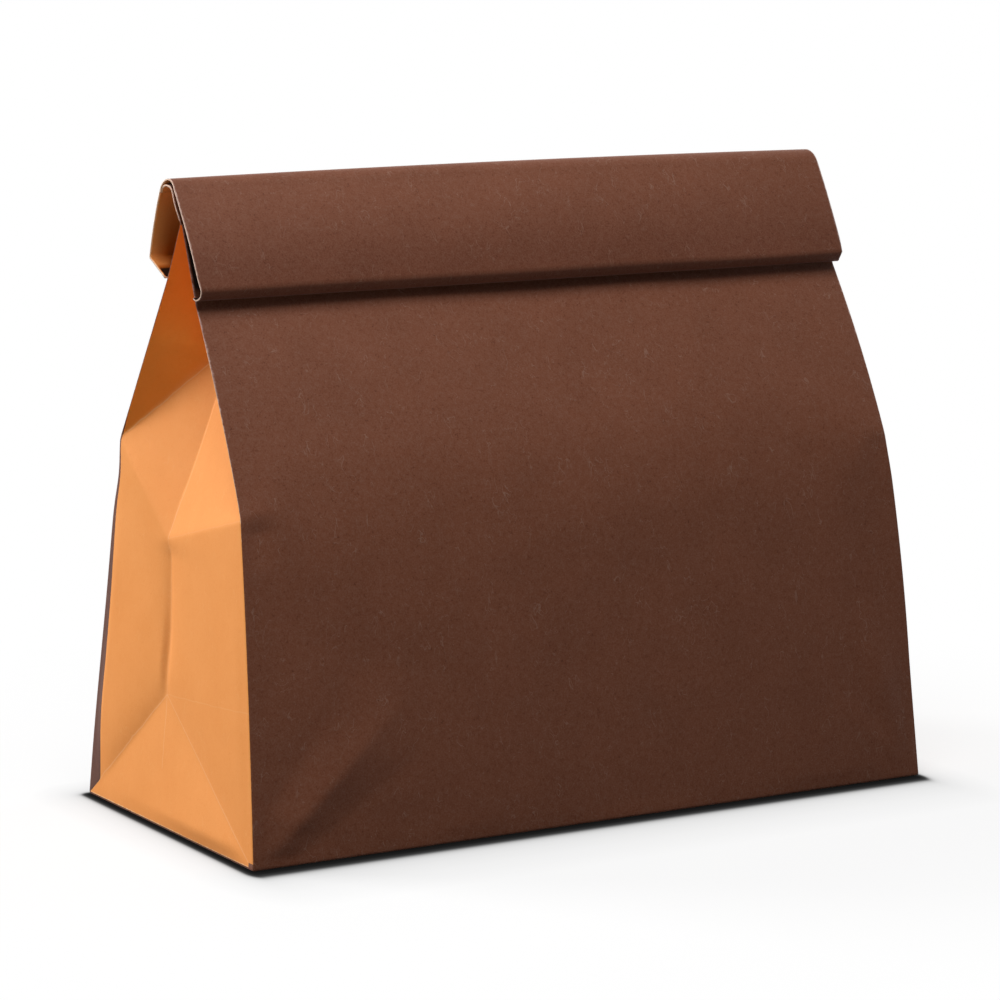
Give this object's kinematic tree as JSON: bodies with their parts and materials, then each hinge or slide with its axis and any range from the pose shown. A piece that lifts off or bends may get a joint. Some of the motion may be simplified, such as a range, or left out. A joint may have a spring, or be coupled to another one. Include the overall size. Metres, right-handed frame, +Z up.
{
  "type": "paper lunch bag",
  "caption": "Dark brown paper lunch bag with tan side gussets, standing packed on its flat block bottom, its top rolled over and creased shut.",
  "frame": {"origin": "middle of the flat base, on the surface that the bag stands on", "axes": "+Z up, +X along the bag's width, front wall with the folded flap towards -Y"},
  "size_m": [0.24, 0.1124, 0.1991],
  "materials": {
    "dark_kraft": "dark brown printed kraft paper, matte with a faint sheen, pale fibre flecks and pale worn folds",
    "tan_kraft": "orange-tan kraft paper, matte, the gussets and the inner side of the sheet"
  },
  "bodies": {
    "root": {"paper_bag": "dark_kraft"}
  },
  "joints": []
}
